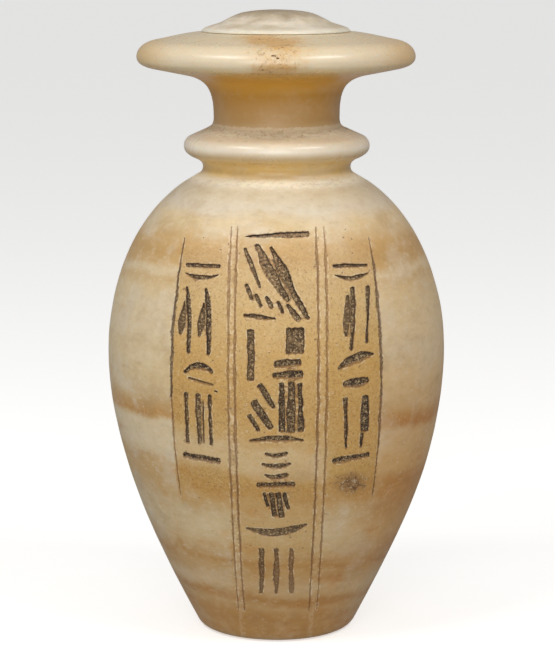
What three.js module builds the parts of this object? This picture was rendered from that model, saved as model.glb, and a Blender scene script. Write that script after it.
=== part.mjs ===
// A canopic jar turned and bored from one block of banded calcite, with its loose lid.
// Millimetres, +Z up. The origin is the centre of the flat foot, and -Y is the inscribed front.
// Both pieces are solids of revolution: an outline is drawn as (radius, height) and spun about Z.

import * as THREE from 'three';

// Driving dimensions, in millimetres and degrees.

const FACETS = 56;                  // flats around each piece
const SAG = 0.24;                   // furthest that a chord may lie from the outside's curve
const HOLLOW_SAG = 0.8;             // the same, for the rougher hollow
const RESTING_GAP = 0.3;            // air between the lid and the rim it rests on

const FOOT_RADIUS = 38.2;           // flat underside
const FOOT_EDGE = 8;                // rounding between the underside and the wall
const FOOT_LEAN = 27.8;             // how far the wall leans outwards above the foot

const BELLY_RADIUS = 94.8;
const BELLY_HEIGHT = 161;

const GROOVE_RADIUS = 41.3;         // deepest point of the groove between shoulder and collar
const GROOVE_HEIGHT = 262.9;
const GROOVE_CUT = 4.6;             // radius of the groove's own section
const SHOULDER_SLOPE = 26.8;        // fall of the shoulder just outside the groove

const COLLAR_RADIUS = 52;
const COLLAR_HEIGHT = 274.7;
const COLLAR_ROLL = 5.8;
const COLLAR_UNDER_SLOPE = 26;
const COLLAR_TOP_SLOPE = 24;

const NECK_RADIUS = 35.2;
const NECK_HEIGHT = 292;            // narrowest point of the neck
const NECK_FOOT = 5;                // hollow rounding where the neck stands on the collar

const RIM_RADIUS = 77.6;
const RIM_HEIGHT = 324;             // widest point of the rim's rolled edge
const RIM_TOP_SLOPE = 10.3;
const RIM_UNDER_SLOPE = 11.4;
const RIM_UNDER_AT_NECK = 314.4;    // height of the underside where the neck's flare ends

const SEAT_RADIUS = 43.6;           // flat ring that the lid rests on
const SEAT_HEIGHT = 337.6;

const MOUTH_RADIUS = 27;
const MOUTH_EDGE = 2;
const BORE_RADIUS = 25;             // narrowest point, inside the neck
const WALL = 12.5;                  // thickness of the wall at the belly
const FLOOR = 22;                   // thickness of the stone under the hollow

const LID_RADIUS = 41.3;
const LID_HEIGHT = 350;             // top of the crown, above the foot
const LID_EDGE = 0.6;               // upright land around the lid's foot
const CROWN_RADIUS = 16;            // soft flat top of the dome
const DOME_RADIUS = 30.6;           // where the dome's slope meets the flange
const DOME_HEIGHT = 343.1;
const DOME_SLOPE = 26.7;
const PLUG_RADIUS = 24;             // hidden plug that keeps the lid centred in the mouth
const PLUG_DEPTH = 11;
const PLUG_CHAMFER = 2;

// Outline helpers. Points are (radius, height); a heading is in degrees from outwards, turning upwards.

const at = (radius, height) => new THREE.Vector2(radius, height);

function along(start, heading, distance) {
  const angle = THREE.MathUtils.degToRad(heading);
  return at(start.x + distance * Math.cos(angle), start.y + distance * Math.sin(angle));
}

// The point that a line from start, on the given heading, reaches at a radius.
function reach(start, heading, radius) {
  return at(radius, start.y + (radius - start.x) * Math.tan(THREE.MathUtils.degToRad(heading)));
}

// A smooth stretch that leaves start on one heading and arrives at end on another.
function sweep(start, leaving, leavingPull, end, arriving, arrivingPull) {
  const first = along(start, leaving, leavingPull);
  const last = along(end, arriving, -arrivingPull);
  return new THREE.CubicBezierCurve(start, first, last, end);
}

// A round stretch about a centre, from one angle to another, counter-clockwise if the angle grows.
function roll(centre, radius, from, to) {
  const start = THREE.MathUtils.degToRad(from);
  const end = THREE.MathUtils.degToRad(to);
  return new THREE.EllipseCurve(centre.x, centre.y, radius, radius, start, end, to < from);
}

// The number of equal steps that keeps every chord within a sag of the curve.
function stepsFor(curve, sag) {
  for (let steps = 2; ; steps += 1) {
    const points = curve.getPoints(2 * steps);
    let worst = 0;
    for (let i = 0; i < steps; i += 1) {
      const chordMiddle = points[2 * i].clone().lerp(points[2 * i + 2], 0.5);
      worst = Math.max(worst, chordMiddle.distanceTo(points[2 * i + 1]));
    }
    if (worst < sag) return steps;
  }
}

// Joins points and curves, in order, into one chain with no point twice.
function chain(stretches, sag) {
  const points = [];
  for (const stretch of stretches) {
    const next = stretch.isVector2 ? [stretch] : stretch.getPoints(stepsFor(stretch, sag));
    for (const point of next) {
      const last = points.at(-1);
      if (!last || last.distanceTo(point) > 0.05) points.push(point);
    }
  }
  return points;
}

// Spins an outline that starts and ends on the axis and runs outwards along the underside first.
function spun(name, outline, material) {
  const mesh = new THREE.Mesh(new THREE.LatheGeometry(outline, FACETS), material);
  mesh.name = name;
  mesh.rotation.x = Math.PI / 2;    // the lathe's axis is Y, and the jar's is Z
  return mesh;
}

// Jar, outside: foot, belly, groove, collar, neck and rolled rim, from the bottom up.

function jarOutside() {
  const footCentre = at(FOOT_RADIUS, FOOT_EDGE);
  const footTop = along(footCentre, -FOOT_LEAN, FOOT_EDGE);
  const belly = at(BELLY_RADIUS, BELLY_HEIGHT);

  const grooveCentre = at(GROOVE_RADIUS + GROOVE_CUT, GROOVE_HEIGHT);
  const grooveStart = -90 - SHOULDER_SLOPE;
  const grooveEnd = -270 + COLLAR_UNDER_SLOPE;
  const shoulderTop = along(grooveCentre, grooveStart, GROOVE_CUT);

  const collarCentre = at(COLLAR_RADIUS - COLLAR_ROLL, COLLAR_HEIGHT);
  const collarTop = along(collarCentre, 90 - COLLAR_TOP_SLOPE, COLLAR_ROLL);

  // The collar's top runs up to the neck's hollow foot, whose centre is NECK_FOOT above that slope.
  const raised = along(collarTop, 90 - COLLAR_TOP_SLOPE, NECK_FOOT);
  const neckFootCentre = reach(raised, -COLLAR_TOP_SLOPE, NECK_RADIUS + NECK_FOOT);
  const neck = at(NECK_RADIUS, NECK_HEIGHT);

  const flareEnd = at(NECK_RADIUS + 16.8, RIM_UNDER_AT_NECK);
  const rimUnder = reach(flareEnd, RIM_UNDER_SLOPE, RIM_RADIUS - 7.6);
  const rimEdge = at(RIM_RADIUS, RIM_HEIGHT);
  const seat = at(SEAT_RADIUS, SEAT_HEIGHT);
  const rimTop = reach(seat, -RIM_TOP_SLOPE, RIM_RADIUS - 9.6);

  return [
    roll(footCentre, FOOT_EDGE, -90, -FOOT_LEAN),
    sweep(footTop, 90 - FOOT_LEAN, 56.8, belly, 90, 56.8),
    sweep(belly, 90, 39.9, shoulderTop, 180 - SHOULDER_SLOPE, 36.7),
    roll(grooveCentre, GROOVE_CUT, grooveStart, grooveEnd),
    roll(collarCentre, COLLAR_ROLL, COLLAR_UNDER_SLOPE - 90, 90 - COLLAR_TOP_SLOPE),
    roll(neckFootCentre, NECK_FOOT, -90 - COLLAR_TOP_SLOPE, -180),
    sweep(neck, 90, 15.4, flareEnd, RIM_UNDER_SLOPE, 12.4),
    sweep(rimUnder, RIM_UNDER_SLOPE, 4.5, rimEdge, 90, 3.2),
    sweep(rimEdge, 90, 5, rimTop, 180 - RIM_TOP_SLOPE, 5),
    seat,
  ];
}

// Jar, inside: mouth, straight bore through neck and collar, and the hollow under the shoulder.

function jarInside() {
  const mouthEdge = at(MOUTH_RADIUS + MOUTH_EDGE, SEAT_HEIGHT);
  const mouth = at(MOUTH_RADIUS, SEAT_HEIGHT - MOUTH_EDGE);
  const neckTop = at(BORE_RADIUS, NECK_HEIGHT + 18);
  const boreEnd = at(BORE_RADIUS, GROOVE_HEIGHT - 6);
  const shoulder = at(BORE_RADIUS + 6, GROOVE_HEIGHT - 13);
  const belly = at(BELLY_RADIUS - WALL, BELLY_HEIGHT);
  const floorEdge = at(FOOT_RADIUS - 3, FLOOR + 3);
  const floor = at(0, FLOOR);
  return [
    sweep(mouthEdge, 180, 1.1, mouth, -90, 1.1),
    sweep(mouth, -90, 9, neckTop, -90, 9),
    sweep(boreEnd, -90, 4, shoulder, -SHOULDER_SLOPE, 4),
    sweep(shoulder, -SHOULDER_SLOPE, 29, belly, -90, 36),
    sweep(belly, -90, 52, floorEdge, -90 - 45, 34),
    sweep(floorEdge, -90 - 45, 4, at(FOOT_RADIUS - 12, FLOOR), 180, 6),
    floor,
  ];
}

// Lid: a plug, a flat resting face, and a flange that steps up to a low flattened dome.

function lidOutline() {
  const seat = SEAT_HEIGHT + RESTING_GAP;
  const plugBottom = seat - PLUG_DEPTH;
  const edge = at(LID_RADIUS, seat + LID_EDGE);
  const dome = at(DOME_RADIUS, DOME_HEIGHT);
  const flange = at(DOME_RADIUS + 4.2, DOME_HEIGHT - 1.4);
  const crown = at(CROWN_RADIUS, LID_HEIGHT - 1.2);
  const slopeTop = reach(dome, -DOME_SLOPE, CROWN_RADIUS + 7.2);
  return [
    at(0, plugBottom),
    at(PLUG_RADIUS - PLUG_CHAMFER, plugBottom),
    at(PLUG_RADIUS, plugBottom + PLUG_CHAMFER),
    at(PLUG_RADIUS, seat),
    at(LID_RADIUS, seat),
    sweep(edge, 110, 1.6, flange, 163, 3),
    sweep(flange, 163, 1.2, dome, 180 - DOME_SLOPE, 1.2),
    sweep(slopeTop, 180 - DOME_SLOPE, 2.4, crown, 172, 2.4),
    sweep(crown, 172, 5, at(0, LID_HEIGHT), 180, 6),
  ];
}

const calcite = new THREE.MeshStandardMaterial({ color: 0xdcc9a4, roughness: 0.38, metalness: 0 });
const paleCalcite = new THREE.MeshStandardMaterial({ color: 0xe2d8c6, roughness: 0.42, metalness: 0 });

const outside = chain([at(0, 0), ...jarOutside()], SAG);
const inside = chain(jarInside(), HOLLOW_SAG);
const jar = spun('jar', [...outside, ...inside], calcite);
const lid = spun('lid', chain(lidOutline(), SAG), paleCalcite);

const canopicJar = new THREE.Group();
canopicJar.add(jar, lid);

export default canopicJar;
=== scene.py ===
import math

import bpy
import numpy as np
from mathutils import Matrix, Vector, noise
from mathutils.geometry import delaunay_2d_cdt


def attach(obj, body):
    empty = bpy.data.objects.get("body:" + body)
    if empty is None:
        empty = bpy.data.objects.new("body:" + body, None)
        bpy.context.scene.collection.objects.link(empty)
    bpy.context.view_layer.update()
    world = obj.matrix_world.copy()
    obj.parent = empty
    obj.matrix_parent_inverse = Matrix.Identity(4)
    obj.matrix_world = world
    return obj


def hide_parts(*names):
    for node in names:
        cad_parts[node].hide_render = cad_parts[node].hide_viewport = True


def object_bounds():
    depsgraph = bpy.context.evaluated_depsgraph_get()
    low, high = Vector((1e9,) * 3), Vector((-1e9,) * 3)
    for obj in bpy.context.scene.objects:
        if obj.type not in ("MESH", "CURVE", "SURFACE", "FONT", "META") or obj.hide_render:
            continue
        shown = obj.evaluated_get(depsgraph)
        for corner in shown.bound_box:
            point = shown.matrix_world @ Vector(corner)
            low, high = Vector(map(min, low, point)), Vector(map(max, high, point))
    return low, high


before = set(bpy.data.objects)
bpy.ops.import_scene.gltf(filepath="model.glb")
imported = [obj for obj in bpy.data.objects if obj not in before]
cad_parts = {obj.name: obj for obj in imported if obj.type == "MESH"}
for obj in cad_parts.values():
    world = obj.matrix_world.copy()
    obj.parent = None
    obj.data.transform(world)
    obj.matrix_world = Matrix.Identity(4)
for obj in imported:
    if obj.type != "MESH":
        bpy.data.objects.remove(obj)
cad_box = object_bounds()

# A lidded jar of banded calcite, with a panel of cut strokes on its front. The imported model gives every
# size of the jar and its lid. Each is spun again here as a fine surface, in millimetres until its mesh
# is made, and each has its own finish.

# ---------------------------------------------------------------------------------------------------
# The jar
# One block of banded calcite, turned outside, drilled out inside and rubbed smooth with sand. Three
# ruled columns of shallow strokes are cut into its front, rubbed with ochre and darkened by soot and
# painted shade.

# The jar's outline comes from the imported solid, is made smooth, and is spun into rings of fine mesh.

MM = 0.001
TALLEST = cad_box[1][2] / MM
NECK_FOOT = 284.2           # where the neck stands on the collar
SHOULDER_TOP = 257.5        # where the shoulder meets the groove under the collar
RIM_FOOT = 300              # below the rim's widest ring, and above the collar's
COLUMNS = 200               # mesh columns round each piece
COLUMN_ANGLE = 2 * math.pi / COLUMNS
OUTER_RING, INNER_RING = 2.3, 6     # widest gaps between rings of mesh, outside and in the hollow


def outline(node):
    """A turned node's outline as rows of radius and height, walked from its lowest point on the axis."""
    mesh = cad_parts[node].data
    place = {}
    for vertex in mesh.vertices:
        x, y, z = vertex.co / MM
        if abs(x) < 1e-4 and y < 1e-4:
            place[vertex.index] = (round(abs(y), 3), round(z, 3))
    beside = {}
    for edge in mesh.edges:
        ends = [place.get(i) for i in edge.vertices]
        if None not in ends and ends[0] != ends[1]:
            beside.setdefault(ends[0], set()).add(ends[1])
            beside.setdefault(ends[1], set()).add(ends[0])
    walk = [min((p for p in beside if p[0] == 0), key=lambda p: p[1])]
    while True:
        ahead = [p for p in beside[walk[-1]] if p not in walk[-2:]]
        if not ahead:
            return np.array(walk)
        walk.append(ahead[0])


def smoothed(points, step=0.25, corner=34, wear=0.5):
    """A close chain along the smooth curve through an outline. A turn of over `corner` degrees stays a
    corner, worn round by `wear`."""
    spans = np.diff(points, axis=0)
    lengths = np.hypot(*spans.T)
    ways = spans / lengths[:, None]
    leaving, arriving = ways.copy(), ways.copy()
    worn = np.zeros(len(points))
    for i in range(1, len(ways)):
        before, after = ways[i - 1], ways[i]
        if before @ after < math.cos(math.radians(corner)):
            worn[i] = min(wear, 0.4 * lengths[i - 1], 0.4 * lengths[i])
            continue
        way = before * lengths[i] + after * lengths[i - 1]
        if lengths[i - 1] > 2.5 * lengths[i]:
            way = before
        elif lengths[i] > 2.5 * lengths[i - 1]:
            way = after
        arriving[i - 1] = leaving[i] = way / np.linalg.norm(way)
    chain = []
    for i, length in enumerate(lengths):
        t = np.linspace(0, 1, max(2, math.ceil(length / step)) + 1)[:, None]
        start, end = points[i], points[i + 1]
        run = (1 + 2 * t) * (1 - t) ** 2 * start + t * (1 - t) ** 2 * length * leaving[i]
        run = run + t * t * (3 - 2 * t) * end + t * t * (t - 1) * length * arriving[i]
        far_enough = np.hypot(*(run - start).T) > worn[i]
        far_enough &= np.hypot(*(run - end).T) > worn[i + 1] - 1e-9
        far_enough[0] = worn[i] == 0
        chain.append(run[far_enough])
        if worn[i + 1]:
            t = np.linspace(0, 1, 5)[:, None]
            first, last = end - ways[i] * worn[i + 1], end + ways[i + 1] * worn[i + 1]
            chain.append((1 - t) ** 2 * first + 2 * t * (1 - t) * end + t * t * last)
    chain = np.vstack(chain)
    apart = np.hypot(*np.diff(chain, axis=0).T) > 0.02
    return chain[np.r_[True, apart]]


def rings(chain, longest, turn=7):
    """Which points of a close chain become rings of mesh: one every `longest`, and more where it bends."""
    spans = np.diff(chain, axis=0)
    lengths = np.hypot(*spans.T)
    headings = np.unwrap(np.arctan2(spans[:, 1], spans[:, 0]))
    kept, run, bent = [0], 0, 0
    for i in range(1, len(chain) - 1):
        run += lengths[i - 1]
        bent += abs(headings[i] - headings[i - 1])
        if run >= longest or bent >= math.radians(turn):
            kept.append(i)
            run = bent = 0
    return kept + [len(chain) - 1]


class Turned:
    """A turned surface, placed by azimuth (0 at the front, towards +X) and distance along its outline."""

    def __init__(self, node, wear):
        self.chain = smoothed(outline(node))
        spans = np.diff(self.chain, axis=0)
        self.along = np.r_[0, np.cumsum(np.hypot(*spans.T))]
        ways = np.gradient(self.chain, self.along, axis=0)
        self.normals = np.c_[ways[:, 1], -ways[:, 0]] / np.hypot(*ways.T)[:, None]
        self.wear = wear

    def at(self, values, along):
        return np.interp(along, self.along, values)

    def radius(self, along):
        return self.at(self.chain[:, 0], along)

    def along_at(self, height, low, high):
        """The distance along the outline at a height, on the part that rises from low to high."""
        part = (self.along >= low) & (self.along <= high)
        return np.interp(height, self.chain[part, 1], self.along[part])

    def place(self, azimuth, along, sunk=0):
        """Points in metres, with the hand's unevenness and the wear, sunk below the surface."""
        radius, height = self.radius(along), self.at(self.chain[:, 1], along)
        out, up = self.at(self.normals[:, 0], along), self.at(self.normals[:, 1], along)
        sunk = sunk + self.wear(azimuth, radius, height)
        radius, height = radius - out * sunk, height - up * sunk
        uneven = [hand_unevenness(a, h) for a, h in zip(azimuth, height)]
        radius = np.maximum(radius + np.array(uneven) * np.minimum(radius / 30, 1), 0)
        return np.c_[radius * np.sin(azimuth), -radius * np.cos(azimuth), height] * MM


def hand_unevenness(azimuth, height):
    """How far a hand-turned surface runs in or out of round."""
    spot = Vector((math.sin(azimuth) * 1.1, math.cos(azimuth) * 1.1, height / 60))
    fine = Vector((math.sin(azimuth) * 5, math.cos(azimuth) * 5, height / 16))
    return 0.55 * noise.noise(spot) + 0.12 * noise.noise(fine)


def band(height, middle, half):
    """1 at a height, falling smoothly to 0 at `half` above and below it."""
    share = np.clip(1 - np.abs(height - middle) / half, 0, 1)
    return share * share * (3 - 2 * share)


def jar_wear(azimuth, radius, height):
    """Shallow dips and crusts: faint tool marks all over, and rough lines where dirt and lime have sat."""
    seam = band(height, NECK_FOOT, 2.6) + 0.7 * band(height, SHOULDER_TOP, 2.2)
    worn = np.zeros(len(height))
    for i, (a, r, h, s) in enumerate(zip(azimuth, radius, height, seam)):
        around = Vector((math.sin(a) * r, math.cos(a) * r, h))
        worn[i] = 0.05 * noise.noise(around / 9)
        if s > 0:
            worn[i] += s * (0.28 * noise.noise(around / 2.4) + 0.25 * noise.noise(around / 6))
    return worn


jar = Turned("jar", jar_wear)
seat_height = jar.chain[:, 1].max()
outer_end = int(np.argmax(jar.chain[:, 1] > seat_height - 0.01))
jar_rings = rings(jar.chain[:outer_end + 1], OUTER_RING)
jar_rings += [outer_end + i for i in rings(jar.chain[outer_end:], INNER_RING, turn=14)[1:]]
jar_along = jar.along[jar_rings]

# The strokes were cut with a hard point and a small chisel, and have rough floors. They spell nothing.
# Each one is a line of changing width on the jar's skin.

BRUISE_ACROSS, BRUISE_HEIGHT = 42, 98.5
random = np.random.default_rng(41)


class Cut:
    """One stroke: a route over the skin, its full widths along the route, a depth and a share of soot."""

    def __init__(self, route, widths, depth=1.0, soot=1.0, ragged=0.2):
        length = sum(math.dist(a, b) for a, b in zip(route, route[1:]))
        count = max(7, round(length / (0.5 if max(widths) > 1.4 else 0.9)))
        t = np.linspace(0, 1, count)[:, None]
        layer = [np.array([point], float) for point in route]
        while len(layer) > 1:
            layer = [a * (1 - t) + b * t for a, b in zip(layer, layer[1:])]
        self.middle = layer[0]
        spans = np.diff(self.middle, axis=0)
        run = np.r_[0, np.cumsum(np.hypot(*spans.T))]
        width = np.interp(t[:, 0], np.linspace(0, 1, len(widths)), widths)
        cap = np.interp(t[:, 0], [0, 1], [widths[0], widths[-1]]) * 0.18 + 0.1
        to_end = np.clip(np.minimum(run, run[-1] - run) / cap, 0, 1)
        half = width / 2 * np.sqrt(1 - (1 - to_end) ** 2)
        left = self.roughened(half, run, ragged)
        right = self.roughened(half, run, ragged)
        self.halves = [left, right]
        ways = np.gradient(self.middle, axis=0)
        self.across = np.c_[-ways[:, 1], ways[:, 0]] / np.hypot(*ways.T)[:, None]
        self.wall = min(0.5, 0.8 * half.max())
        self.depth, self.soot = depth, soot * random.uniform(0.8, 1)

    def roughened(self, half, run, ragged):
        """A half width that wanders, slowly and quickly, as a chisel's edge does."""
        wander = np.zeros(len(run))
        for step, share in ((5, 0.9), (0.8, 0.5)):
            knots = np.arange(0, run[-1] + 2 * step, step)
            wander += share * np.interp(run, knots, random.normal(0, ragged, len(knots)))
        return np.maximum(half + wander * np.minimum(half, 1), half * 0.6)

    def loops(self):
        """The lines that the mesh must follow: the stroke's edge, and the foot of its wall."""
        start, end = self.middle[:1], self.middle[-1:]
        yield np.vstack([start, self.side(0, 1), end, self.side(0, -1)[::-1]])
        yield np.vstack([self.side(self.wall, 1), self.side(self.wall, -1)[::-1]])

    def side(self, inset, sign):
        """Points down one side of the stroke, set in from its edge."""
        half = self.halves[0 if sign > 0 else 1]
        half = np.minimum(np.maximum(half - inset, 0.05), half * (1 if inset == 0 else 0.6))
        return (self.middle + sign * self.across * half[:, None])[1:-1]

    def inside(self, spots):
        """How far each spot lies inside the stroke's edge; negative outside."""
        reach = max(h.max() for h in self.halves) + 2
        low, high = self.middle.min(0) - reach, self.middle.max(0) + reach
        near = np.where(((spots > low) & (spots < high)).all(axis=1))[0]
        result = np.full(len(spots), -9.0)
        if len(near) == 0:
            return result
        start, span = self.middle[:-1], np.diff(self.middle, axis=0)
        offset = spots[near][:, None] - start
        t = np.clip((offset * span).sum(2) / (span ** 2).sum(1), 0, 1)
        apart = np.hypot(*np.moveaxis(offset - t[..., None] * span, 2, 0))
        nearest = apart.argmin(1)
        rows = np.arange(len(near))
        t, apart, offset, span = t[rows, nearest], apart[rows, nearest], offset[rows, nearest], span[nearest]
        left = span[:, 0] * offset[:, 1] - span[:, 1] * offset[:, 0] > 0
        half = np.where(left, *[h[nearest] * (1 - t) + h[nearest + 1] * t for h in self.halves])
        result[near] = half - apart
        return result


cuts = []


def cut(*arguments, **keywords):
    cuts.append(Cut(*arguments, **keywords))


def pit(across, height, size, depth=0.4, soot=0.8, cuts=cuts):
    """A small hole where the stone has plucked out."""
    slip = random.uniform(-0.4, 0.4) * size
    route = [(across, height), (across + slip, height + 0.6 * size)]
    cuts.append(Cut(route, [size, size], depth, soot, 0.06))


# Rules, as (across, height): a pair of scratched lines on each side of the middle column, and one line
# outside each side column. Small pits follow them.
for side, near, far in ((-1, 22.2, 25.8), (1, 22.4, 27.2)):
    for across in (near, far):
        route = [(side * (across - 1.2), 237), (side * (across + 1.3), 190),
                 (side * (across + 0.3), 100), (side * (across - 4.2), 20)]
        cut(route, [0.8, 1.6, 1.3, 1.6, 1.2, 1.1, 0.6], 0.45, 0.52 if across == near else 0.42, 0.35)
        for height in random.uniform(45, 232, 11):
            leaning_in = 3 * max(0, (100 - height) / 80) ** 1.3
            pit(side * (across - leaning_in + random.uniform(-0.9, 0.9)), height, 0.6)
for side in (-1, 1):
    cut([(side * 54.2, 230), (side * 61, 185), (side * 60.6, 145)], [0.6, 1.6, 2, 1.8, 1.5], 0.6, 0.72, 0.4)
    cut([(side * 60.5, 148), (side * 59.8, 118), (side * 56.5, 88)], [1.3, 1.3, 0.9, 0.5], 0.4, 0.62, 0.4)

# Side columns: a bar and a sagging line at the top, and a heavy bar at the foot.
for side in (-1, 1):
    cut([(side * 30.4, 217), (side * 52.2, 216.2)], [1.8, 2.4, 2.3, 1.8], 0.9)
    cut([(side * 31.4, 212.6), (side * 41.5, 208.4), (side * 52.4, 212.2)], [0.7, 2.2, 2.6, 0.8], 0.9)
    cut([(side * 30.4, 112.2), (side * 53.6, 113.9)], [3.2, 3.5, 3.4, 3], 1.1, ragged=0.25)

# Left column: two chisel-cut pairs, a bowed stroke over a slanting one, uprights and a dot.
for across in (-49.6, -37.6):
    cut([(across - 1.4, 205.4), (across + 1.4, 195), (across + 0.2, 170.2)], [1.2, 3.2, 3.2, 3, 2.2], 1.2)
    cut([(across - 2.4, 198), (across - 3.4, 190), (across - 5.2, 179.6)], [1, 3.4, 5, 1.6], 1.1, 0.85)
cut([(-52.2, 159.6), (-47.4, 165.6), (-39, 165.8), (-34.4, 161.2)], [1.6, 3.8, 4, 1.8], 1)
cut([(-49.6, 157.4), (-34, 154.6)], [1.2, 2, 1.8, 1.2], 0.7, 0.85)
for across, wide in ((-50.2, 2.6), (-42.8, 3.2), (-35.8, 2.4)):
    cut([(across - 0.7, 149.6), (across + 0.1, 120.6)], [wide * 1.1, wide, wide * 0.9, wide * 0.8], 0.9, 0.9)
cut([(-40.4, 146), (-40.1, 121.5)], [0.6, 1.2, 1, 0.7], 0.5, 0.7)
pit(-32.9, 150.7, 2, 0.8, 1)

# Right column: a chisel-cut pair, a slanting mark, a blunt bar, and two uprights of unlike weight.
cut([(42.2, 206), (42.8, 190), (41.2, 172.4)], [2.4, 3.2, 3.2, 2.6, 1.8], 1.2)
cut([(39.4, 202), (38.6, 192), (38.2, 180)], [1.6, 3.8, 4.6, 1.8], 1.1, 0.85)
cut([(52, 206), (50.8, 175.6)], [3, 2.3, 1.8, 1.7], 1, 0.9)
cut([(33.4, 163.2), (42, 169.8), (55.4, 169.8)], [0.9, 5.2, 5.6, 1.4], 1.1)
cut([(36.2, 154.8), (52.2, 155.8)], [3.2, 4.8, 5, 2.8], 1)
cut([(38, 147.8), (38.6, 118.6)], [3.2, 2.2, 2, 1.5], 0.9, 0.8)
cut([(50.2, 148), (49.8, 127)], [4, 5.4, 5.6, 4.8], 1.2)
cut([(48.4, 127), (47.6, 118.4)], [2.4, 2.2, 1.4], 0.9)

# Middle column, first group: a tapering bar over a sheaf of long slanting gouges and a short base line.
cut([(-17, 232.2), (17.8, 233.7)], [0.7, 2, 3.2, 3.5, 2.8], 1)
cut([(-17.2, 226.6), (-12.4, 216), (-8.4, 206.4)], [1.8, 2.8, 2.4, 1.6], 0.9)
cut([(-10.6, 228.8), (-3.4, 213), (6.6, 199.4)], [2.2, 5.2, 6.2, 4.6, 2], 1.1, 0.9, 0.35)
cut([(-3, 227.4), (4.6, 212), (17.4, 190)], [2.6, 4.4, 5.2, 4.4, 3.2, 2], 1.2, ragged=0.35)
cut([(5.4, 198.4), (12.6, 189.4)], [2, 3.6, 3], 1, 0.9)
for across, top, foot in ((-16.2, 208.6, 200), (-11.4, 203.6, 196.4),
                          (-5.6, 202.6, 195.8), (0.4, 200, 193.4)):
    cut([(across, top), (across + 3.4, foot)], [1.8, 2.5, 1.8], 0.9)
cut([(-17.8, 192.4), (-0.2, 190.8)], [1.6, 2.6, 2.4, 1.4], 0.9)

# Middle column, second group: an upright, a broad short cut, two bars, then uprights and slants side
# by side over a long bar.
cut([(-13.6, 185.4), (-13.6, 157.6)], [4, 3.8, 3.8, 3.6], 1.1, 0.9, 0.25)
for across in (6.7, 10, 13.2):
    cut([(across, 186.4), (across, 172)], [3.6, 3.7, 3.4], 1.2, 0.95, 0.25)
cut([(-1.4, 166.8), (13.4, 167.8)], [3.4, 4.6, 3.8], 1.2)
cut([(-2.2, 161), (14.4, 161.6)], [3, 4.8, 4.4], 1.2)
for across, top, foot, wide in ((2.8, 157.4, 129.6, 3.4), (7.8, 157.8, 129, 4.4), (12.8, 157, 129.4, 2.9)):
    cut([(across, top), (across, foot)], [wide * 0.8, wide, wide, wide * 0.9], 1.2, 0.95, 0.3)
for across, top, foot, wide in ((-12.4, 147.4, 131.4, 4), (-9.2, 156.4, 143, 3),
                                (-14.8, 139.6, 130.2, 2.4)):
    cut([(across, top), (across + 0.62 * (top - foot), foot)], [wide, wide * 1.1, wide * 0.8], 1.1)
cut([(-14.6, 124.8), (0, 127.4), (14.8, 125)], [1.2, 3.2, 3.4, 1.4], 1.1)

# Middle column, third group: three sagging lines over a bar, a row of short slants, a broad stroke that
# sags, and three uprights that were only lightly cut.
for height, reach in ((117.4, 6.2), (111.2, 8), (104.9, 6.6)):
    cut([(-reach, height + 0.8), (0, height - 2.6), (reach, height + 1)], [1.6, 2.9, 3.1, 1.6], 1.1)
cut([(-10.8, 99.4), (10.2, 100)], [2.6, 3.4, 3.5, 3], 1.2)
for across, foot, wide in ((-5.6, 86.2, 2), (-2, 80.4, 2.6), (1.8, 79.6, 2.8), (5.2, 84.6, 2.1)):
    cut([(across - 1.1, 95.4), (across + 1.3, foot)], [wide, wide, wide * 1.15], 1.1)
cut([(-16.8, 73.4), (0.6, 68.4), (17, 75.8)], [1.4, 4.4, 5, 4.6, 1.6], 1, 0.85)
for across in (-8.1, 0, 8.2):
    cut([(across, 61.6), (across, 32)], [2.6, 2.9, 2.8, 1.8], 0.65, 0.73, 0.3)

# Pits all over the panel, and more where the stone is bruised, low in the right column.
for i in range(70):
    pit(random.uniform(-56, 56), random.uniform(60, 236), random.uniform(0.35, 0.85), 0.35, 0.7)
for i in range(40):
    across, height = random.normal(BRUISE_ACROSS, 5), random.normal(BRUISE_HEIGHT, 3.2)
    pit(across, height, random.uniform(0.35, 0.8), 0.4, 0.75)

# Rings of mesh carry the plain stone. Over the panel, and over the pitted front of the rim, a patch of
# triangles follows every stroke's edge, and is joined to the rings at its border.

OUTSIDE = -1.5              # stands for any place further than this from a cut
PANEL_FOOT, PANEL_TOP = 12, 241
grid_azimuth = (np.arange(COLUMNS) - COLUMNS // 2) * COLUMN_ANGLE


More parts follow.
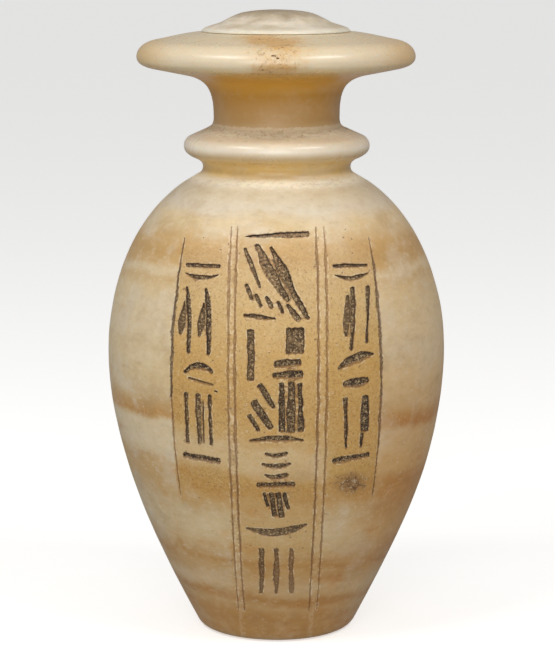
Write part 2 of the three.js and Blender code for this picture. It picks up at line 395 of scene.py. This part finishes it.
class Patch:
    """A window in the rings, filled with triangles that follow a list of cuts."""

    def __init__(self, columns, low, high, cuts, spacing):
        middle = COLUMNS // 2
        self.columns = range(middle - columns, middle + columns + 1)
        self.rows = range(*np.searchsorted(jar_along, [low, high]))
        self.cuts, self.spacing = cuts, spacing
        self.reach = columns * COLUMN_ANGLE

    def border(self):
        """The ring points around the window, as (row, column), in order."""
        first, last = self.rows[0], self.rows[-1]
        left, right = self.columns[0], self.columns[-1]
        yield from ((first, column) for column in self.columns)
        yield from ((row, right) for row in self.rows[1:])
        yield from ((last, column) for column in reversed(self.columns[:-1]))
        yield from ((row, left) for row in reversed(self.rows[1:-1]))

    def covers(self, row, column):
        """Whether the ring face above and right of a ring point is in the window."""
        return row in self.rows[:-1] and column in self.columns[:-1]

    def fill(self):
        """Spots as (across, along), the triangles between them, and the border's place in the spots."""
        border = list(self.border())
        spots = []
        for row, column in border:
            along = jar_along[row]
            spots.append((jar.radius(along) * grid_azimuth[column], along))
        lines = [(i, (i + 1) % len(spots)) for i in range(len(spots))]
        for each in self.cuts:
            for loop in each.loops():
                start, count = len(spots), len(loop)
                spots.extend(map(tuple, loop))
                lines.extend((start + i, start + (i + 1) % count) for i in range(count))
        spots.extend(map(tuple, self.filling()))
        spots = [Vector(spot) for spot in spots]
        found, _, triangles, origins, _, _ = delaunay_2d_cdt(spots, lines, [], 1, 1e-5)
        known = [next((i for i in origin if i < len(border)), None) for origin in origins]
        return np.array([tuple(v) for v in found]), triangles, border, known

    def filling(self):
        """Evenly staggered spots over the window, closer together inside the cuts."""
        low, high = jar_along[self.rows[0]], jar_along[self.rows[-1]]
        kept = []
        for spacing, within in ((self.spacing, False), (0.8, True)):
            width = self.reach * jar.radius(np.linspace(low, high, 50)).max()
            rows = np.arange(low + 0.7, high - 0.7, spacing * 0.87)
            columns = np.arange(-width, width, spacing)
            spots = np.array([(x + spacing / 2 * (i % 2), y) for i, y in enumerate(rows) for x in columns])
            spots = spots + random.uniform(-0.12, 0.12, spots.shape) * spacing
            spots = spots[np.abs(spots[:, 0]) < self.reach * jar.radius(spots[:, 1]) - 0.8]
            depth_in = np.max([each.inside(spots) for each in self.cuts], axis=0)
            walls = np.max([np.where(each.inside(spots) > -8, each.wall, 0) for each in self.cuts], axis=0)
            kept.append(spots[depth_in > walls + 0.3] if within else spots[depth_in < -0.45])
        return np.vstack(kept)


def sunk_by(cuts, spots):
    """How deep the cuts sink each spot, how far in from the nearest cut's edge it lies, and its soot."""
    sunk, inward, soot = np.zeros(len(spots)), np.full(len(spots), OUTSIDE), np.zeros(len(spots))
    for each in cuts:
        inside = each.inside(spots)
        deeper = np.clip(inside / each.wall, 0, 1) * each.depth >= sunk
        deeper &= (inside > inward) | (inside > 0)
        sunk[deeper] = (np.clip(inside / each.wall, 0, 1) * each.depth)[deeper]
        inward[deeper] = np.maximum(inside, OUTSIDE)[deeper]
        soot[deeper] = each.soot
    rough = np.array([noise.noise(Vector((*spot, 0)) * 0.9) for spot in spots])
    return sunk * (1 + 0.5 * rough * np.clip(inward, 0, 1)), inward, soot


body_low, body_high = jar.along[0], jar.along[np.argmax(jar.chain[:, 1] > SHOULDER_TOP - 1.5)]
for each in cuts:
    each.middle[:, 1] = jar.along_at(each.middle[:, 1], body_low, body_high)
panel_low, panel_high = (jar.along_at(height, body_low, body_high) for height in (PANEL_FOOT, PANEL_TOP))
panel = Patch(columns=26, low=panel_low, high=panel_high, cuts=cuts, spacing=1.5)

rim_widest = jar.along[np.argmax(jar.chain[:outer_end, 0] * (jar.chain[:outer_end, 1] > RIM_FOOT))]
pits = []
for i in range(60):
    across, along = random.normal(-2, 6), rim_widest + random.normal(3, 7)
    if abs(across) < 17 and rim_widest - 11 < along < rim_widest + 22:
        size = random.choice([0.35, 0.5, 0.8], p=[0.5, 0.35, 0.15])
        pit(across, along, size, 0.3, random.uniform(0.2, 0.6), pits)
for across, along, size, soot in ((-1.6, 3.6, 2.6, 0.5), (0.6, 2.4, 1.8, 0.5),
                                  (-7, -4, 1.1, 1), (-3, -6.5, 0.9, 0.9)):
    pit(across, rim_widest + along, size, 0.9, soot, pits)
rim_front = Patch(columns=8, low=rim_widest - 13, high=rim_widest + 25, cuts=pits, spacing=1.3)


def build_mesh(name, points, faces, soot, inward):
    """A smooth-shaded mesh object from points in metres, keeping only the points that faces use."""
    used, corners = np.unique(np.concatenate([np.array(face) for face in faces]), return_inverse=True)
    mesh = bpy.data.meshes.new(name)
    ends = np.cumsum([0] + [len(face) for face in faces])
    mesh.from_pydata(points[used].tolist(), [], [corners[a:b].tolist() for a, b in zip(ends, ends[1:])])
    for label, values in (("soot", soot), ("inward", inward)):
        attribute = mesh.attributes.new(label, "FLOAT", "POINT")
        attribute.data.foreach_set("value", values[used].astype(np.float32))
    mesh.shade_smooth()
    mesh.set_sharp_from_angle(angle=math.radians(38))
    piece = bpy.data.objects.new(name, mesh)
    bpy.context.scene.collection.objects.link(piece)
    return piece


def spin(name, surface, ring_along, patches=()):
    """A turned piece: rings of mesh closed on the axis at both ends, with patches let into them."""
    azimuth, along = np.tile(grid_azimuth, len(ring_along)), np.repeat(ring_along, COLUMNS)
    points = surface.place(azimuth, along)
    soot, inward = np.zeros(len(azimuth)), np.full(len(azimuth), OUTSIDE)
    last = len(ring_along) - 1

    def ring_point(row, column):
        return row * COLUMNS + (0 if row in (0, last) else column % COLUMNS)

    faces = []
    for row in range(last):
        for column in range(COLUMNS):
            if any(patch.covers(row, column) for patch in patches):
                continue
            corners = [ring_point(row, column), ring_point(row, column + 1),
                       ring_point(row + 1, column + 1), ring_point(row + 1, column)]
            faces.append(list(dict.fromkeys(corners)))
    for patch in patches:
        spots, triangles, border, known = patch.fill()
        sunk, spot_inward, spot_soot = sunk_by(patch.cuts, spots)
        added = surface.place(spots[:, 0] / surface.radius(spots[:, 1]), spots[:, 1], sunk)
        start = len(points)
        points = np.vstack([points, added])
        soot, inward = np.r_[soot, spot_soot], np.r_[inward, spot_inward]
        places = [start + i if k is None else ring_point(*border[k]) for i, k in enumerate(known)]
        faces += [[places[i] for i in triangle] for triangle in triangles]
    return build_mesh(name, points, faces, soot, inward)


jar_piece = spin("calcite_jar", jar, jar_along, [panel, rim_front])
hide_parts("jar")
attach(jar_piece, "root")

# Calcite is laid down by water: cream and smoky layers with honey and amber between them, cloudy and
# a little translucent.


class Wire:
    """A node's output that can stand in a sum. Each sum adds a Math node to the same finish."""

    def __init__(self, finish, socket):
        self.finish, self.socket = finish, socket

    def math(self, operation, first, second=0.0):
        return self.finish.node("Math", {"operation": operation}, {0: first, 1: second})

    def __add__(self, other):
        return self.math("ADD", self, other)

    def __sub__(self, other):
        return self.math("SUBTRACT", self, other)

    def __rsub__(self, other):
        return self.math("SUBTRACT", other, self)

    def __mul__(self, other):
        return self.math("MULTIPLY", self, other)

    def __truediv__(self, other):
        return self.math("DIVIDE", self, other)

    def __pow__(self, other):
        return self.math("POWER", self, other)

    def __abs__(self):
        return self.math("ABSOLUTE", self)

    __radd__, __rmul__ = __add__, __mul__


class Finish:
    """A material in the making: a tree of nodes that ends in one Principled shader."""

    def __init__(self, name):
        self.material = bpy.data.materials.new(name)
        self.material.use_nodes = True
        self.material.node_tree.nodes.clear()
        self.end = self.material.node_tree.nodes.new("ShaderNodeOutputMaterial")
        here = self.node("TexCoord", output="Object")
        self.here = self.node("VectorMath", {"operation": "SCALE"}, {0: here, "Scale": 1 / MM})
        self.x, self.y, self.z = (self.node("SeparateXYZ", {}, {0: self.here}, axis) for axis in "XYZ")

    def node(self, kind, settings={}, sockets={}, output=0):
        """Adds a node: first its settings, then the values or wires of its sockets."""
        node = self.material.node_tree.nodes.new("ShaderNode" + kind)
        for name, value in settings.items():
            if name == "stops":
                while len(node.color_ramp.elements) < len(value):
                    node.color_ramp.elements.new(1)
                for element, (position, colour) in zip(node.color_ramp.elements, value):
                    element.position, element.color = position, colour
            else:
                setattr(node, name, value)
        for name, value in sockets.items():
            if isinstance(value, Wire):
                self.material.node_tree.links.new(value.socket, node.inputs[name])
            else:
                node.inputs[name].default_value = value
        return Wire(self, node.outputs[output])

    def rise(self, value, low, high):
        """0 below low, 1 above high, and smooth between; or falling, where low is over high."""
        ends = {"Value": value, "From Min": low, "From Max": high}
        return self.node("MapRange", {"interpolation_type": "SMOOTHSTEP"}, ends)

    def clouds(self, size, detail=2.0, roughness=0.5, flat=1.0, shift=0.0):
        """Noise about 0.5, with lumps of a size in millimetres, that may be flattened or drawn upright."""
        stretch = (1 / size, 1 / size, flat / size)
        place = self.node("Mapping", {}, {0: self.here, "Location": (shift, shift, shift), "Scale": stretch})
        return self.node("TexNoise", {}, {0: place, "Scale": 1.0, "Detail": detail, "Roughness": roughness})

    def mix(self, share, first, second, way="MIX"):
        """Blends two colours by a share from 0 to 1."""
        return self.node("Mix", {"data_type": "RGBA", "blend_type": way}, {0: share, 6: first, 7: second}, 2)

    def attribute(self, name):
        return self.node("Attribute", {"attribute_name": name}, {}, "Fac")

    def close(self, shader, bump, strength):
        """Ends the tree: a bumped Principled shader with the given sockets."""
        normal = self.node("Bump", {}, {"Height": bump, "Distance": MM, "Strength": strength}, "Normal")
        surface = self.node("BsdfPrincipled", {}, {**shader, "Normal": normal})
        self.material.node_tree.links.new(surface.socket, self.end.inputs["Surface"])
        return self.material


def tint(red, green, blue):
    """A colour from its three screen values, 0 to 255."""
    shares = [value / 255 for value in (red, green, blue)]
    return (*[s / 12.92 if s < 0.04045 else ((s + 0.055) / 1.055) ** 2.4 for s in shares], 1)


MILK = tint(240, 229, 209)
PEARL = tint(228, 211, 181)
CREAM = tint(224, 203, 165)
STRAW = tint(214, 187, 141)
HONEY = tint(206, 169, 112)
AMBER = tint(198, 154, 90)
RUST = tint(196, 144, 73)
SMOKE = tint(220, 206, 182)
HAZE = tint(184, 155, 112)
RESIN = tint(228, 168, 56)
SOOT = tint(54, 38, 26)
SILT = tint(150, 124, 86)
RUSSET = tint(130, 86, 54)
DOVE = tint(214, 198, 168)
WHEAT = tint(211, 179, 128)
FLAX = tint(222, 198, 154)

body_layers = [
    (0, HONEY), (18, HONEY), (24, STRAW), (28, AMBER), (31, STRAW), (36, CREAM), (42, WHEAT),
    (47, HONEY), (49, AMBER), (54, WHEAT), (67, FLAX), (80, STRAW), (92, HONEY), (100, HONEY),
    (108, CREAM), (128, CREAM), (131, HONEY), (132, RUST), (136, AMBER), (144, STRAW), (158, FLAX),
    (176, CREAM), (200, FLAX), (207, WHEAT), (211, CREAM), (215, HONEY), (220, tint(198, 159, 99)),
    (227, HONEY), (233, STRAW), (240, FLAX), (246, SMOKE), (252, DOVE)]
# Under the rim the neck and the rim's underside are deep amber and orange: partly the stone's own amber,
# partly painted shade cast by the rim and a painted glow of light through the stone and off the neck.
neck_layers_shade_and_glow = [
    (256, MILK), (259, CREAM), (262, tint(222, 184, 112)), (267, tint(232, 196, 124)), (271, STRAW),
    (275, MILK), (281, PEARL), (285, STRAW), (290, tint(198, 158, 99)), (299, tint(197, 151, 82)),
    (304, tint(198, 145, 56)), (310, RESIN), (315, tint(240, 182, 82)), (318, tint(236, 200, 132)),
    (321, tint(240, 222, 184)), (324, PEARL), (328, PEARL), (335, CREAM), (338, CREAM)]

stone = Finish("banded calcite")
azimuth = stone.node("Math", {"operation": "ARCTAN2"}, {0: stone.x, 1: 0 - stone.y})
radius = (stone.x * stone.x + stone.y * stone.y) ** 0.5
across = azimuth * radius
aside = abs(across)

sway = (stone.clouds(75, 1.0, 0.5, 1.0, 33) - 0.5) * 11 + (stone.clouds(19, 2.0, 0.6, 1.5) - 0.5) * 7
sway = sway + (stone.clouds(3.4, 4.0, 0.7, 0.6) - 0.5) * 4.2
spur = stone.rise(abs(across + 61), 6, 0) * stone.rise(abs(stone.z - 62), 14, 4)
drooped = stone.rise(stone.x, -40, -86) * stone.rise(abs(stone.z - 142), 30, 10)
level = stone.z + stone.x * stone.rise(stone.z, 215, 170) * 0.064 + sway - spur * 7 + drooped * 5.5
layers = stone.node("ValToRGB", {"stops": [(h / TALLEST, c) for h, c in body_layers]},
                    {0: level / TALLEST}, "Color")
thinned = stone.rise(aside, 62, 50) * stone.rise(abs(level - 133), 13, 3)
layers = stone.mix(thinned * 0.85, layers, CREAM)
steady = stone.z + (stone.clouds(22, 2.0) - 0.5) * 3
upper = stone.node("ValToRGB", {"stops": [(h / TALLEST, c) for h, c in neck_layers_shade_and_glow]},
                   {0: steady / TALLEST}, "Color")
colour = stone.mix(stone.rise(stone.z, 253, 259), layers, upper)

body = stone.rise(stone.z, 276, 252)
cloudy = 0.25 + body * 0.75
laminae = stone.clouds(36, 5.0, 0.62, 4.5)
colour = stone.mix(stone.rise(laminae, 0.5, 0.8) * cloudy * 0.3, colour, tint(196, 160, 112), "MULTIPLY")
colour = stone.mix(stone.rise(laminae, 0.5, 0.2) * cloudy * 0.3, colour, MILK)
milky = stone.rise(stone.clouds(30, 6.0, 0.64, 1.1, 9), 0.5, 0.63)
colour = stone.mix(milky * cloudy * 0.4, colour, SMOKE)
murky = stone.rise(stone.clouds(26, 5.0, 0.62, 1.3, 44), 0.52, 0.72)
colour = stone.mix(murky * cloudy * 0.4, colour, HAZE)
flecked = stone.clouds(6, 6.0, 0.75, 1.6, 120)
colour = stone.mix(stone.rise(flecked, 0.5, 0.7) * cloudy * 0.3, colour, HAZE)
colour = stone.mix(stone.rise(flecked, 0.5, 0.3) * cloudy * 0.3, colour, MILK)
glowing = stone.rise(stone.clouds(21, 4.0, 0.6, 1.8, 140), 0.54, 0.72) * stone.rise(stone.z, 150, 105)
colour = stone.mix(glowing * 0.5, colour, tint(244, 206, 140), "MULTIPLY")
# The right side of the body is darker and more honey-coloured: partly the stone's own colour, partly painted
# shade on the side away from the stronger light.
right_side = stone.rise(stone.x + (stone.clouds(40, 2.0, 0.5, 2.0, 50) - 0.5) * 60, 10, 80)
honeyed_and_shaded = right_side * (0.2 + stone.rise(stone.z, 190, 85) * stone.rise(stone.z, 34, 56) * 0.66)
colour = stone.mix(honeyed_and_shaded, colour, tint(234, 192, 122), "MULTIPLY")
# The body is darker towards the foot.
footed = stone.rise(stone.z + (stone.clouds(30, 2.0) - 0.5) * 30, 75, 15)
colour = stone.mix(footed * 0.75, colour, tint(232, 202, 154), "MULTIPLY")
# Painted shade: the rim's left and right ends are darkened and yellowed where less light reaches them.
shaded_rim_ends = stone.rise(abs(stone.x), 52, 78) * stone.rise(stone.z, 300, 312)
colour = stone.mix(shaded_rim_ends, colour, tint(250, 230, 190), "MULTIPLY")

# Pale scuffs over the body, which also serve as painted glints where fine scratches catch the light.
scuffs_and_glints = stone.rise(stone.clouds(3.0, 6.0, 0.8, 1.6, 90), 0.56, 0.68)
scuffs_and_glints = scuffs_and_glints * stone.rise(stone.clouds(34, 2.0, 0.5, 1.0, 61), 0.46, 0.6) * cloudy
colour = stone.mix(scuffs_and_glints * 0.5, colour, MILK)

# Lime and dirt stay in rough lines at the foot of the neck and where the shoulder begins.
grain = stone.clouds(1.1, 3.0, 0.7)
mottle = stone.clouds(3.4, 5.0, 0.75, 1.0, 60)
crumbs = stone.clouds(3.2, 5.0, 0.8, 2.0, 12)
seam = stone.rise(abs(stone.z - NECK_FOOT + (crumbs - 0.5) * 6), 3.4, 0.6)
ledge = stone.rise(abs(stone.z - SHOULDER_TOP + (crumbs - 0.5) * 6), 2.8, 0.4) * 0.8
crust = (seam + ledge) * stone.rise(crumbs + (grain - 0.5) * 0.5, 0.36, 0.5)
colour = stone.mix(crust * 0.9, colour, tint(250, 238, 212))
grimy = (seam + ledge) * stone.rise(crumbs + grain * 0.4, 0.58, 0.46)
colour = stone.mix(grimy * 0.5, colour, tint(136, 102, 64))
limed = stone.rise(abs(stone.z - NECK_FOOT - 2.2 + (mottle - 0.5) * 3), 1.3, 0.3)
limed = limed * stone.rise(crumbs, 0.36, 0.5)
colour = stone.mix(limed * 0.7, colour, tint(244, 226, 194))

# Iron has stained the front of the rim, between the lid and the neck.
blot = stone.clouds(9, 5.0, 0.7, 1.0, 21)
leaning = across + 7 - (radius - 43) * 0.3
far = (leaning * leaning / 200 + (radius - 56) * (radius - 56) / 560) ** 0.5
stain = stone.rise(far + (blot - 0.5) * 2.6, 1.2, 0.4) * stone.rise(stone.z, 318, 322)
low_far = ((across + 1) * (across + 1) / 130 + (stone.z - 321) * (stone.z - 321) / 28) ** 0.5
low_stain = stone.rise(low_far + (blot - 0.5) * 1.8, 1.3, 0.4) * stone.rise(radius, 66, 72)
stain = stone.node("Math", {"operation": "MAXIMUM"}, {0: stain, 1: low_stain * 0.6})
rusty = stone.clouds(2.2, 5.0, 0.85, 1.0, 88)
colour = stone.mix(stain * 0.9, colour, tint(212, 156, 76))
colour = stone.mix(stain * stone.rise(rusty, 0.46, 0.54) * 0.5, colour, tint(192, 124, 44))
colour = stone.mix(stain * stone.rise(rusty, 0.56, 0.61) * 0.8, colour, tint(126, 74, 34))
freckled = stone.rise(far + (blot - 0.5) * 1.6, 1.8, 0.7) * stone.rise(stone.z, 312, 318)
colour = stone.mix(freckled * 0.5, colour, tint(222, 184, 122))
colour = stone.mix(freckled * stone.rise(rusty, 0.57, 0.62) * 0.75, colour, tint(128, 84, 44))

# The panel between the outer rules was rubbed with ochre, and its skin is grainier.
bowed = 60.4 - (stone.z - 145) * (stone.z - 145) * 0.00083
columns = stone.rise(bowed - aside + (stone.clouds(5, 2.0) - 0.5) * 1.6, -0.6, 0.7)
columns = columns * stone.rise(stone.z + (stone.clouds(12, 3.0) - 0.5) * 22, 82, 100)
middle_column = stone.rise(stone.z + (stone.clouds(12, 2.0) - 0.5) * 22, 22, 70)
middle_column = middle_column * stone.rise(aside, 26, 24.5)
rubbed = stone.node("Math", {"operation": "MAXIMUM"}, {0: columns, 1: middle_column * 0.47})
rubbed = rubbed * stone.rise(stone.z + (stone.clouds(13, 4.0, 0.65) - 0.5) * 34, 238, 212)
bare = stone.rise(abs(stone.z - 113 + stone.x * 0.1 + (stone.clouds(18, 3.0) - 0.5) * 18), 17, 5)
rubbed = rubbed * (1 - bare * stone.rise(stone.x, 34, 20) * 0.6)
patchy = 0.5 + stone.clouds(14, 4.0, 0.65, 1.0, 3) * 0.8
colour = stone.mix(rubbed * patchy, colour, tint(252, 226, 168), "MULTIPLY")
ochre = stone.mix(stone.rise(stone.z, 165, 210), tint(194, 154, 86), tint(201, 175, 128))
colour = stone.mix(rubbed * 0.6, colour, ochre)
colour = stone.mix(rubbed * stone.rise(mottle, 0.5, 0.72) * 0.45, colour, tint(176, 134, 76))
colour = stone.mix(rubbed * stone.rise(mottle, 0.48, 0.3) * 0.4, colour, tint(222, 192, 132))
colour = stone.mix(rubbed * stone.rise(grain, 0.57, 0.7) * 0.5, colour, PEARL)
colour = stone.mix(rubbed * stone.rise(grain, 0.45, 0.33) * 0.6, colour, tint(142, 104, 60))

# Low in the right column the stone is bruised brown round its plucked patch.
beside, above = across - BRUISE_ACROSS, stone.z - BRUISE_HEIGHT
bruise = (beside * beside / 90 + above * above / 36) ** 0.5
bruised = stone.rise(bruise + (mottle - 0.5) * 2.4, 1.4, 0.3)
colour = stone.mix(bruised * 0.6, colour, tint(134, 98, 66))
colour = stone.mix(bruised * stone.rise(rusty, 0.5, 0.56) * 0.7, colour, tint(96, 66, 42))

# The strip between the two scratched rules of a pair is painted paler, as a painted highlight beside the
# rules.
tapered = stone.node("Math", {"operation": "MAXIMUM"}, {0: 110 - stone.z, 1: 0.0}) * 0.046
pale_strip_highlight = stone.rise(abs(aside - 24.2 + tapered), 2.2, 0.8) * stone.rise(stone.z, 238, 230)
colour = stone.mix(pale_strip_highlight * stone.rise(mottle, 0.42, 0.58) * 0.35, colour, tint(226, 200, 160))

# Soot and silt lie in the cuts, and have crept a little way out of them. Over the soot the walls that face
# down are painted dark and those that face up are left lighter: painted shade on the cut walls. Pale lips
# stand partly for chips and partly for painted highlights on the cut edges.
inward, soot = stone.attribute("inward"), stone.attribute("soot")
gouged = stone.clouds(1.9, 5.0, 0.8, 1.0, 8)
# Pale lips: partly chips, partly painted highlights where the cut edges catch the light.
chips_and_lip_highlights = stone.rise(abs(inward + 0.3), 0.6, 0.1) * stone.rise(mottle + (gouged - 0.5) * 0.4, 0.5, 0.58)
crept = stone.rise(inward + (gouged - 0.5) * 2.4, -0.8, 0.2) * soot * (1 - chips_and_lip_highlights)
colour = stone.mix(crept * 0.7, colour, tint(140, 98, 62), "MULTIPLY")
colour = stone.mix(chips_and_lip_highlights * 0.42, colour, tint(242, 224, 190))
upward = stone.node("SeparateXYZ", {}, {0: stone.node("NewGeometry", {}, {}, "Normal")}, "Z")
deep = stone.rise(soot + (gouged - 0.5) * 0.7, 0.5, 0.66)
soot_and_wall_shade = stone.rise(inward + (gouged - 0.5) * 0.7, -0.05, 0.22) * (0.6 + stone.rise(stone.z, 30, 75) * 0.4)
# Painted shade: the walls that face down stay dark, and those that face up lose most of the soot.
soot_and_wall_shade = soot_and_wall_shade * (soot ** 0.7) * (1 - stone.rise(upward, 0.35, 0.7) * 0.8)
soot_and_wall_shade = soot_and_wall_shade * (1 - stone.rise(gouged, 0.46, 0.56) * (1 - deep) * 0.75)
bottom = stone.rise(inward, 0.25, 0.8)
dirt = stone.mix(deep, RUSSET, SOOT)
dirt = stone.mix(stone.rise(gouged, 0.4, 0.54) * bottom * deep * 0.8, dirt, tint(96, 76, 54))
dirt = stone.mix(bottom * stone.rise(gouged, 0.52, 0.6) * 0.9, dirt, SILT)
dirt = stone.mix(bottom * stone.rise(grain, 0.53, 0.62) * 0.75, dirt, STRAW)
colour = stone.mix(soot_and_wall_shade, colour, dirt)

polish = stone.rise(stone.z, 255, 268) * (1 - stone.rise(abs(stone.z - 298), 17, 11))
roughness = 0.36 - polish * 0.15 + stone.clouds(14, 3.0, 0.6) * 0.14
roughness = roughness + rubbed * 0.14 + soot_and_wall_shade * 0.3 + crust * 0.3
bump = stone.clouds(0.8, 3.0, 0.65) * 0.08 + laminae * 0.1 + grain * rubbed * 0.3
bump = bump + soot_and_wall_shade * gouged * 0.9 + crust * crumbs * 0.8
calcite = stone.close({"Base Color": colour, "Roughness": roughness, "Subsurface Weight": 0.3,
                       "Subsurface Radius": (1.0, 0.62, 0.34), "Subsurface Scale": 3 * MM,
                       "IOR": 1.52}, bump, 0.6)
jar_piece.data.materials.append(calcite)

# ---------------------------------------------------------------------------------------------------
# The lid
# A low stepped dome of paler calcite with a thin flange and a short plug under it. It only rests on
# the rim, so it can be lifted off.


def lid_wear(azimuth, radius, height):
    """Faint tool marks, and a flange worn thin in places."""
    spots = [Vector((math.sin(a) * r, math.cos(a) * r, h)) for a, r, h in zip(azimuth, radius, height)]
    worn = [noise.noise(spot / 7) for spot in spots]
    return 0.07 * np.array(worn) * (height > seat_height + 1)


lid = Turned("lid", lid_wear)
lid_piece = spin("calcite_lid", lid, lid.along[rings(lid.chain, longest=1.8)])
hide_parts("lid")
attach(lid_piece, "root")

pale = Finish("pale calcite")
drift = pale.clouds(24, 4.0, 0.6, 4.0, 5)
colour = pale.mix(pale.rise(drift, 0.3, 0.65), tint(232, 219, 198), tint(200, 183, 154))
colour = pale.mix(pale.rise(pale.clouds(18, 3.0, 0.6, 1.5, 31), 0.52, 0.75) * 0.5, colour, HAZE)
weathered = pale.rise(pale.z + (pale.clouds(14, 5.0, 0.65, 1.0, 6) - 0.5) * 15, 343, 350.5)
colour = pale.mix(weathered * 0.85, colour, tint(158, 138, 108))
colour = pale.mix(pale.rise(pale.z, 341.5, 339) * 0.6, colour, tint(240, 232, 214))
speckle = pale.rise(pale.clouds(1.2, 3.0, 0.7, 1.0, 70), 0.6, 0.7)
colour = pale.mix(speckle * 0.3, colour, HAZE)
bump = pale.clouds(0.8, 3.0, 0.65) * 0.1 + drift * 0.06
lid_piece.data.materials.append(pale.close(
    {"Base Color": colour, "Roughness": 0.36 + pale.clouds(11, 3.0) * 0.14, "Subsurface Weight": 0.35,
     "Subsurface Radius": (1.0, 0.66, 0.4), "Subsurface Scale": 4 * MM, "IOR": 1.5}, bump, 0.5))

# ---------------------------------------------------------------------------------------------------
# The studio
# A pale floor under soft light. The camera stands a little above the lid and looks slightly down at the
# middle of the jar, from far enough away for a flat, even view.

floor_mesh = bpy.data.meshes.new("floor")
floor_mesh.from_pydata([(-30, -30, 0), (30, -30, 0), (30, 30, 0), (-30, 30, 0)], [], [(0, 1, 2, 3)])
floor = bpy.data.objects.new("floor", floor_mesh)
bpy.context.scene.collection.objects.link(floor)

CAMERA_AWAY, CAMERA_RISE = 1.4, math.radians(9.2)
AIM_ACROSS, AIM_HEIGHT = 0.0006, 0.1727
camera_data = bpy.data.cameras.new("camera")
camera_data.lens = 137
camera = bpy.data.objects.new("camera", camera_data)
bpy.context.scene.collection.objects.link(camera)
bpy.context.scene.camera = camera
away, above = CAMERA_AWAY * math.cos(CAMERA_RISE), CAMERA_AWAY * math.sin(CAMERA_RISE)
camera.location = (AIM_ACROSS, -away, AIM_HEIGHT + above)
camera.rotation_euler = (math.pi / 2 - CAMERA_RISE, 0, 0)

paint = Finish("floor paint")
floor.data.materials.append(paint.close(
    {"Base Color": tint(240, 239, 236), "Roughness": 0.8, "Emission Color": (1, 1, 1, 1),
     "Emission Strength": 0.5}, paint.clouds(3, 2.0), 0.05))
floor.visible_diffuse = floor.visible_glossy = False

# Two small bright softboxes high at the sides, and a broad weak one at the front.
for place, wide, high, power in (((-0.81, -0.72, 1.40), 0.72, 0.24, 8.5),
                                 ((0.81, -0.72, 1.40), 0.72, 0.24, 7.8),
                                 ((-0.2, -2.4, 0.62), 1.7, 1.5, 26)):
    light = bpy.data.lights.new("softbox", "AREA")
    light.shape = "RECTANGLE"
    light.size, light.size_y = wide, high
    light.energy = power
    lamp = bpy.data.objects.new("softbox", light)
    lamp.visible_camera = False
    lamp.location = place
    lamp.rotation_euler = (Vector((0, 0, 0.2)) - lamp.location).to_track_quat("-Z", "Y").to_euler()
    bpy.context.scene.collection.objects.link(lamp)

world = bpy.data.worlds.new("world")
world.use_nodes = True
world.node_tree.nodes["Background"].inputs["Color"].default_value = (1, 1, 1, 1)
world.node_tree.nodes["Background"].inputs["Strength"].default_value = 0.3
bpy.context.scene.world = world
bpy.context.scene.view_settings.view_transform = "Standard"
bpy.context.scene.cycles.use_denoising = True
